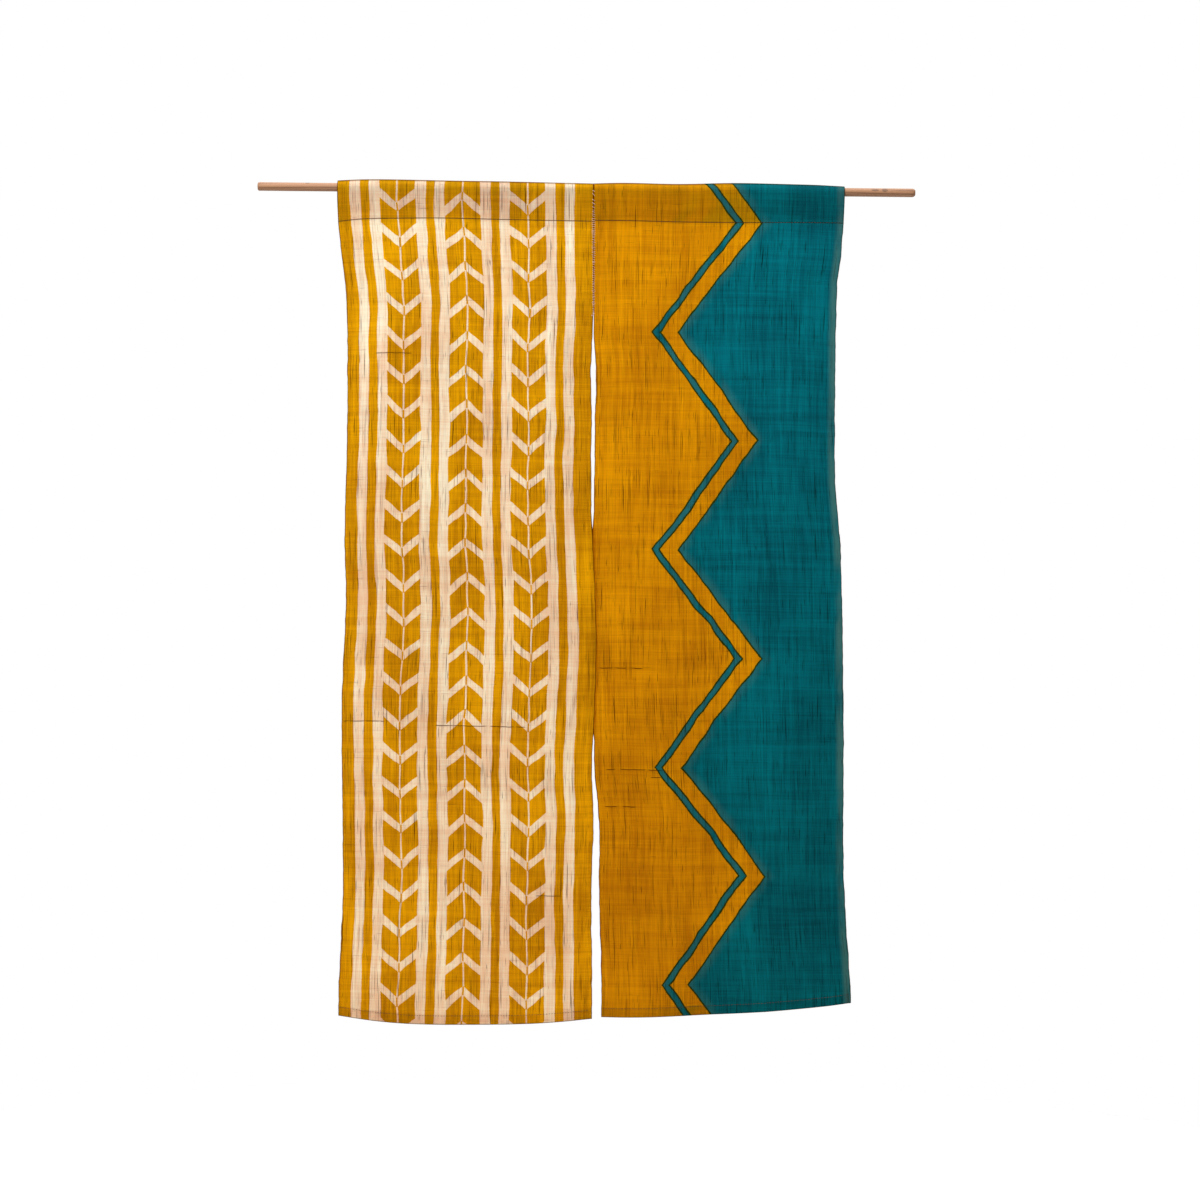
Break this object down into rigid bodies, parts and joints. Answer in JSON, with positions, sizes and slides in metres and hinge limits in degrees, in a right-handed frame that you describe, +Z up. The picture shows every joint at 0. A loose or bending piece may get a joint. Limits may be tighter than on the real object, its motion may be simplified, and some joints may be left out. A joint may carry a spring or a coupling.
{
  "type": "noren curtain on wooden rod",
  "caption": "Doorway curtain of two hemp cloth panels, sewn together at the top and slit below, hanging in folds on a round wooden rod.",
  "frame": {"origin": "middle of the rod's axis", "axes": "+X along the rod to the right as seen from the room, +Y to the back, away from the room, +Z up"},
  "size_m": [1.16, 0.0249, 1.4919],
  "materials": {
    "rod_wood": "plain unvarnished pinkish brown wood",
    "cloth_left": "coarse semi-sheer hemp, cream with mustard pattern",
    "cloth_right": "coarse semi-sheer hemp, mustard with a teal field",
    "seam_thread": "dark brown spun thread",
    "joint_thread": "cream spun thread"
  },
  "bodies": {
    "root": {"rod": "rod_wood", "panel_left": "cloth_left", "panel_right": "cloth_right"}
  },
  "joints": []
}
